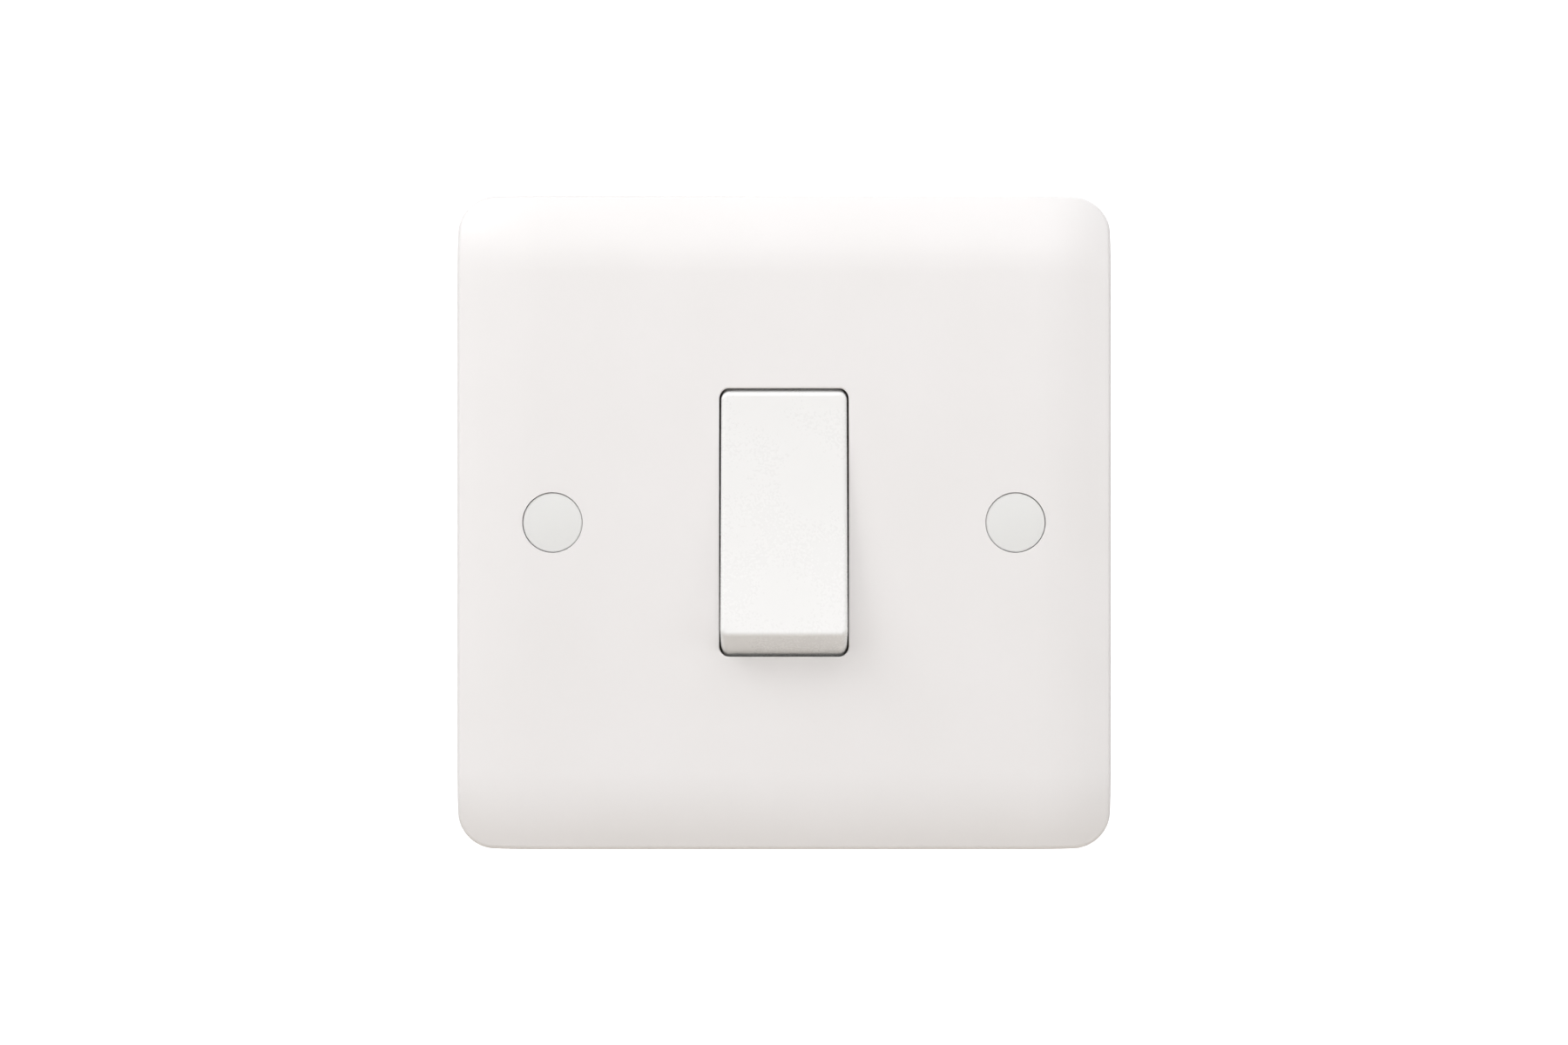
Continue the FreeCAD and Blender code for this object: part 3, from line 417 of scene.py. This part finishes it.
def close_up(bm):
    """Merges doubles, fills what is open and turns every face outwards."""
    bmesh.ops.remove_doubles(bm, verts=bm.verts, dist=MERGE)
    rims = [e for e in bm.edges if e.is_boundary]
    if rims:
        bmesh.ops.holes_fill(bm, edges=rims, sides=0)
    bmesh.ops.recalc_face_normals(bm, faces=bm.faces)


def part_of(build, *args, **named):
    """One closed shell made by a builder in its own bmesh, as a mesh."""
    bm = bmesh.new()
    build(bm, *args, **named)
    close_up(bm)
    mesh = bpy.data.meshes.new("shell")
    bm.to_mesh(mesh)
    bm.free()
    return mesh


SLOT_EDGE = 0.05 * MM


def half_disc(bm, profile, slot_half, side):
    """A turned slab with everything past one wall of the slot cut off."""
    lathe(bm, profile)
    bmesh.ops.remove_doubles(bm, verts=bm.verts, dist=MERGE)
    geom = bm.verts[:] + bm.edges[:] + bm.faces[:]
    cut = bmesh.ops.bisect_plane(bm, geom=geom, dist=MERGE, plane_co=(0, 0, side * slot_half),
                                 plane_no=(0, 0, side), clear_inner=True)
    rim = [e for e in cut["geom_cut"] if isinstance(e, bmesh.types.BMEdge)]
    filled = bmesh.ops.holes_fill(bm, edges=rim, sides=0)
    wall_edges = {e for f in filled["faces"] for e in f.edges}
    bmesh.ops.recalc_face_normals(bm, faces=bm.faces)
    bmesh.ops.bevel(bm, geom=list(wall_edges), offset=SLOT_EDGE, segments=2, affect="EDGES",
                    profile=0.5, material=-1)


def thread(bm, root_r, crest_r, pitch, y_start, y_end, tip_r, tip_length, steps=28):
    """A helical ridge on a round core. A positive tip length points it at y_end, a negative one at
    y_start."""
    turns = math.ceil((y_end - y_start) / pitch) + 2
    # share of the pitch, radius: a flat root, a flank, a narrow crest and the other flank
    shape = ((0.0, root_r), (0.12, root_r), (0.44, crest_r), (0.56, crest_r), (0.88, root_r))
    points = [(r, y_start + (n - 2 + share) * pitch) for n in range(turns) for share, r in shape]
    verts = [bm.verts.new((r, y, 0)) for r, y in points]
    edges = [bm.edges.new(pair) for pair in zip(verts, verts[1:])]
    bmesh.ops.spin(bm, geom=verts + edges, cent=ORIGIN, axis=Y_AXIS, dvec=(0, pitch / steps, 0),
                   angle=2 * math.pi, steps=steps)
    bmesh.ops.remove_doubles(bm, verts=bm.verts, dist=MERGE)
    for y, facing in ((y_start, -1), (y_end, 1)):
        geom = bm.verts[:] + bm.edges[:] + bm.faces[:]
        cut = bmesh.ops.bisect_plane(bm, geom=geom, dist=MERGE, plane_co=(0, y, 0),
                                     plane_no=(0, facing, 0), clear_outer=True)
        rim = [e for e in cut["geom_cut"] if isinstance(e, bmesh.types.BMEdge)]
        bmesh.ops.holes_fill(bm, edges=rim, sides=0)
    tip_y = y_end if tip_length > 0 else y_start
    for vert in bm.verts:
        r = math.hypot(vert.co.x, vert.co.z)
        share = min(1.0, abs(vert.co.y - tip_y) / abs(tip_length))
        limit = tip_r + (crest_r - tip_r) * share
        if r > limit:
            vert.co.x *= limit / r
            vert.co.z *= limit / r


HEAD_ROUNDING = 1 / 2.4        # of the head's height
HEAD_ARC_STEP = 15             # degrees
HEAD_FLAT_INSET = 1.04         # of the rounding
RECESS_TAPER = 0.72            # of the recess's width, at its floor


def cross_head(bm, r, y_seat, y_top, cross_half, cross_reach, depth):
    """A rounded head with a cross recess in its top."""
    round_r = (y_top - y_seat) * HEAD_ROUNDING
    arc = [(r - round_r * (1 - math.cos(a)), y_top - round_r * (1 - math.sin(a)))
           for a in (math.radians(step * HEAD_ARC_STEP) for step in range(6))]
    top_r = r - round_r * HEAD_FLAT_INSET
    lathe(bm, [(0, y_seat), (r, y_seat)] + arc + [(top_r, y_top)], 64)
    bmesh.ops.remove_doubles(bm, verts=bm.verts, dist=MERGE)
    rim = [e for e in bm.edges if e.is_boundary]
    bmesh.ops.holes_fill(bm, edges=rim, sides=0)
    for axis in ((1, 0, 0), (0, 0, 1)):
        for distance in (-cross_reach, -cross_half, cross_half, cross_reach):
            faces = [f for f in bm.faces if all(abs(v.co.y - y_top) < MERGE for v in f.verts)]
            corners = list({v for f in faces for v in f.verts})
            sides = list({e for f in faces for e in f.edges})
            bmesh.ops.bisect_plane(bm, geom=corners + sides + faces, dist=MERGE,
                                   plane_co=Vector(axis) * distance, plane_no=axis)
    recess = []
    for face in bm.faces:
        centre = face.calc_center_median()
        across = sorted((abs(centre.x), abs(centre.z)))
        flat = all(abs(v.co.y - y_top) < MERGE for v in face.verts)
        if flat and across[0] < cross_half and across[1] < cross_reach:
            recess.append(face)
    pushed = bmesh.ops.extrude_face_region(bm, geom=recess)
    floor = [v for v in pushed["geom"] if isinstance(v, bmesh.types.BMVert)]
    bmesh.ops.translate(bm, verts=floor, vec=(0, -depth, 0))
    bmesh.ops.scale(bm, verts=floor, vec=(RECESS_TAPER, 1, RECESS_TAPER))


SMOOTH_ANGLE = 35              # degrees


def piece(name, shells, body, material, replaced=()):
    """One named piece from several closed shells, each with its place: (mesh, matrix). Without a body
    it is attached to nothing."""
    bm = bmesh.new()
    axes = bm.verts.layers.float_vector.new("own_axis")
    for shell, place in shells:
        first = len(bm.verts)
        bm.from_mesh(shell)
        bm.verts.ensure_lookup_table()
        for vert in bm.verts[first:]:
            vert[axes] = vert.co
            vert.co = place @ vert.co
    mesh = bpy.data.meshes.new(name)
    bm.to_mesh(mesh)
    bm.free()
    mesh.materials.append(material)
    mesh.shade_smooth()
    mesh.set_sharp_from_angle(angle=math.radians(SMOOTH_ANGLE))
    made = bpy.data.objects.new(name, mesh)
    bpy.context.scene.collection.objects.link(made)
    if body:
        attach(made, body)
    if replaced:
        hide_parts(*replaced)
    return made


def at(x, y, z):
    return Matrix.Translation((x, y, z))


def centre_of(node):
    low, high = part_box(node)
    return (low + high) / 2


# ---- fixing screws ---------------------------------------------------------
FIXING_HEAD_T = 2.0 * MM
FIXING_HEAD_R = 3.0 * MM
FIXING_SLOT_HALF = 0.45 * MM
FIXING_SLOT_DEPTH = 1.1 * MM
FIXING_CORE_R = 1.42 * MM
FIXING_CREST_R = 1.75 * MM
FIXING_PITCH = 0.6 * MM
FIXING_SHANK_R = 1.48 * MM     # plain part under the head
FIXING_SHANK_END = 0.1 * MM
FIXING_TIP_R = 1.1 * MM
FIXING_TIP = 1.1 * MM
FIXING_EDGE = 0.35 * MM
EDGE_SHARE = 0.3               # of a head's edge, at its middle point

low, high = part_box("fixing_screws")
fixing_x = high.x - FIXING_HEAD_R
under_head = low.y + FIXING_HEAD_T
slot_floor = low.y + FIXING_SLOT_DEPTH
fixing_shells = [
    part_of(lathe, [(0, slot_floor), (FIXING_HEAD_R, slot_floor), (FIXING_HEAD_R, under_head),
                     (0, under_head)]),
    part_of(lathe, [(0, under_head), (FIXING_SHANK_R, under_head), (FIXING_SHANK_R, FIXING_SHANK_END),
                    (0, FIXING_SHANK_END)]),
    part_of(thread, FIXING_CORE_R, FIXING_CREST_R, FIXING_PITCH, 0, high.y,
            FIXING_TIP_R, FIXING_TIP),
]
head_half = [(0, slot_floor), (FIXING_HEAD_R, slot_floor), (FIXING_HEAD_R, low.y + FIXING_EDGE),
             (FIXING_HEAD_R - FIXING_EDGE * EDGE_SHARE, low.y + FIXING_EDGE * EDGE_SHARE),
             (FIXING_HEAD_R - FIXING_EDGE, low.y), (0, low.y)]
for side in (-1, 1):
    fixing_shells.append(part_of(half_disc, head_half, FIXING_SLOT_HALF, side))
piece("fixing_screw_pair",
      [(shell, at(x, 0, 0)) for x in (-fixing_x, fixing_x) for shell in fixing_shells],
      "housing", NICKEL, ["fixing_screws"])

# ---- clamp screws ----------------------------------------------------------
CLAMP_HEAD_T = 1.6 * MM
CLAMP_HEAD_R = 2.5 * MM
CLAMP_SLOT_HALF = 0.4 * MM
CLAMP_SLOT_DEPTH = 0.9 * MM
CLAMP_CORE_R = 1.36 * MM
CLAMP_CREST_R = 1.69 * MM
CLAMP_PITCH = 0.6 * MM
CLAMP_TIP_R = 1.2 * MM
CLAMP_TIP = 0.6 * MM
CLAMP_EDGE = 0.4 * MM
THREAD_INTO_HEAD = 0.1 * MM
for name in ("common", "l1", "l2"):
    node = name + "_terminal_screw"
    low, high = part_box(node)
    middle = centre_of(node)
    seat = high.y - CLAMP_HEAD_T
    floor_y = high.y - CLAMP_SLOT_DEPTH
    shells = [
        part_of(lathe, [(0, seat), (CLAMP_HEAD_R, seat), (CLAMP_HEAD_R, floor_y), (0, floor_y)]),
        part_of(thread, CLAMP_CORE_R, CLAMP_CREST_R, CLAMP_PITCH, low.y, seat + THREAD_INTO_HEAD,
                CLAMP_TIP_R, -CLAMP_TIP),
    ]
    half_head = [(0, floor_y), (CLAMP_HEAD_R, floor_y), (CLAMP_HEAD_R, high.y - CLAMP_EDGE),
                 (CLAMP_HEAD_R - CLAMP_EDGE * EDGE_SHARE, high.y - CLAMP_EDGE * EDGE_SHARE),
                 (CLAMP_HEAD_R - CLAMP_EDGE, high.y), (0, high.y)]
    for side in (-1, 1):
        shells.append(part_of(half_disc, half_head, CLAMP_SLOT_HALF, side))
    piece(name + "_clamp_screw", [(shell, at(middle.x, 0, middle.z)) for shell in shells],
          name + "_screw", SCREW_BRASS, [node])

# ---- base screws -----------------------------------------------------------
TAPPING_HEAD_R = 2.3 * MM
TAPPING_HEAD_T = 1.6 * MM
TAPPING_CORE_R = 0.86 * MM
TAPPING_CREST_R = 1.2 * MM
TAPPING_PITCH = 1.0 * MM
TAPPING_TIP_R = 0.25 * MM
TAPPING_TIP = 1.8 * MM
CROSS_HALF = 0.275 * MM
CROSS_REACH = 1.3 * MM
CROSS_DEPTH = 0.8 * MM
low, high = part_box("base_screws")
tapping_x = high.x - TAPPING_HEAD_R
tapping_z = high.z - TAPPING_HEAD_R
tapping_seat = high.y - TAPPING_HEAD_T
tapping_shells = [
    part_of(thread, TAPPING_CORE_R, TAPPING_CREST_R, TAPPING_PITCH, low.y,
            tapping_seat + THREAD_INTO_HEAD, TAPPING_TIP_R, -TAPPING_TIP),
    part_of(cross_head, TAPPING_HEAD_R, tapping_seat, high.y, CROSS_HALF, CROSS_REACH, CROSS_DEPTH),
]
piece("base_screw_set",
      [(shell, at(x, 0, z)) for x in (-tapping_x, tapping_x) for z in (-tapping_z, tapping_z)
       for shell in tapping_shells],
      "housing", ZINC, ["base_screws"])

# ---- plunger spring --------------------------------------------------------
SPRING_WIRE_R = 0.2 * MM
SPRING_COIL_R = 1.35 * MM
CLOSED_TURNS = 1.25            # at each end
OPEN_TURNS = 6
CLOSED_PITCH = 2.1             # wire radii to a turn, so closed turns just clear each other
WIRE_SIDES = 12
STEPS_PER_TURN = 32
swing = next(j for j in frame["joints"] if j["name"] == "rocker_swing")["range_deg"]
stored_tilt = Matrix.Rotation(math.radians(-(swing[1] - swing[0]) / 2), 4, "X")
upright = stored_tilt.inverted()
spring_y = [(upright @ v.co).y for v in frame["nodes"]["plunger_spring"].data.vertices]


def coil(bm, y_start, y_end):
    """A compression spring along Y with closed ends."""
    closed_rise = CLOSED_TURNS * CLOSED_PITCH * SPRING_WIRE_R
    open_rise = y_end - y_start - 2 * SPRING_WIRE_R - 2 * closed_rise
    ring = bmesh.ops.create_circle(bm, segments=WIRE_SIDES, radius=SPRING_WIRE_R)["verts"]
    bmesh.ops.translate(bm, verts=ring, vec=(SPRING_COIL_R, y_start + SPRING_WIRE_R, 0))
    running = ring + list({e for v in ring for e in v.link_edges})
    for turns, rise in ((CLOSED_TURNS, closed_rise), (OPEN_TURNS, open_rise), (CLOSED_TURNS, closed_rise)):
        steps = round(turns * STEPS_PER_TURN)
        spun = bmesh.ops.spin(bm, geom=running, cent=ORIGIN, axis=Y_AXIS, dvec=(0, rise / steps, 0),
                              angle=turns * 2 * math.pi, steps=steps)
        running = spun["geom_last"]


coil_spring = piece("plunger_coil_spring", [(part_of(coil, min(spring_y), max(spring_y)), stored_tilt)],
                    None, SPRING_STEEL, ["plunger_spring"])
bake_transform(coil_spring)

# ---- terminal marks on the base's rear -------------------------------------
REAR_PANEL_DEPTH = 0.6 * MM
MARK_RAISED = 0.3 * MM
MARK_SUNK = 0.05 * MM          # into the panel's floor
MARK_H = 2.4 * MM
MARK_W = 1.6 * MM
WIDE_MARK_W = 2.1 * MM
MARK_STROKE = 0.42 * MM
MARK_FLAG = 0.45 * MM
M_DIP = 0.35                   # of the height, where the diagonals of M meet
M_DIAGONAL = 1.7               # strokes, the diagonals' upright thickness
MARK_GAP = 0.6 * MM
MARK_ROW_Z = 8.0 * MM
MARK_INSET = 1.4 * MM         # from its screw towards the middle


def letter_shape(letter):
    """A letter's width and its polygons of (along, up) points, which share their corners."""
    w, h, s, mid = MARK_W, MARK_H, MARK_STROKE, MARK_H / 2
    if letter == "L":
        return w, [[(0, 0), (w, 0), (w, s), (s, s), (s, h), (0, h)]]
    if letter == "1":
        left, right = MARK_FLAG, MARK_FLAG + s
        return right, [[(left, 0), (right, 0), (right, h), (left, h), (0, h - MARK_FLAG),
                        (0, h - MARK_FLAG - s), (left, h - s)]]
    if letter == "2":
        return w, [[(0, 0), (w, 0), (w, s), (s, s), (s, mid - s / 2), (w, mid - s / 2), (w, h), (0, h),
                    (0, h - s), (w - s, h - s), (w - s, mid + s / 2), (0, mid + s / 2)]]
    if letter == "C":
        return w, [[(0, 0), (w, 0), (w, s), (s, s), (s, h - s), (w, h - s), (w, h), (0, h)]]
    if letter == "O":
        outer = [(0, 0), (w, 0), (w, h), (0, h)]
        inner = [(s, s), (w - s, s), (w - s, h - s), (s, h - s)]
        return w, [[outer[n - 1], outer[n], inner[n], inner[n - 1]] for n in range(4)]
    # what is left is M
    dip = M_DIP * h
    w, drop = WIDE_MARK_W, M_DIAGONAL * s
    return w, [[(0, 0), (s, 0), (s, h - drop), (w / 2, dip), (w - s, h - drop), (w - s, 0), (w, 0), (w, h),
                (w - s, h), (w / 2, dip + drop), (s, h), (0, h)]]


def raised_word(bm, word, centre_x, low_z, y_low, y_high):
    """Square-cut letters standing up from a rear face, read from behind."""
    widths = [letter_shape(letter)[0] for letter in word]
    along = -(sum(widths) + MARK_GAP * (len(word) - 1)) / 2
    for letter, width in zip(word, widths):
        points, once = {}, {}
        for polygon in letter_shape(letter)[1]:
            for u, v in polygon:
                if (u, v) not in points:
                    x, z = centre_x - along - u, low_z + v
                    points[u, v] = [bm.verts.new((x, y, z)) for y in (y_low, y_high)]
            for level in (0, 1):
                bm.faces.new([points[point][level] for point in polygon])
            for pair in zip(polygon, polygon[1:] + polygon[:1]):
                key = frozenset(pair)
                once[key] = None if key in once else pair
        for pair in once.values():
            if pair:
                (low_a, high_a), (low_b, high_b) = points[pair[0]], points[pair[1]]
                bm.faces.new((low_a, low_b, high_b, high_a))
        along += width + MARK_GAP


panel_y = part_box("mechanism_base")[1].y - REAR_PANEL_DEPTH
mark_shells = []
for word, node, up in (("COM", "common_terminal_screw", 1), ("L1", "l1_terminal_screw", 1),
                       ("L2", "l2_terminal_screw", -1)):
    screw_x = centre_of(node).x
    word_x = screw_x - math.copysign(MARK_INSET, screw_x)
    mark_shells.append(part_of(raised_word, word, word_x, up * MARK_ROW_Z - MARK_H / 2,
                               panel_y - MARK_SUNK, panel_y + MARK_RAISED))
piece("terminal_marks", [(shell, at(0, 0, 0)) for shell in mark_shells], "housing", BASE)
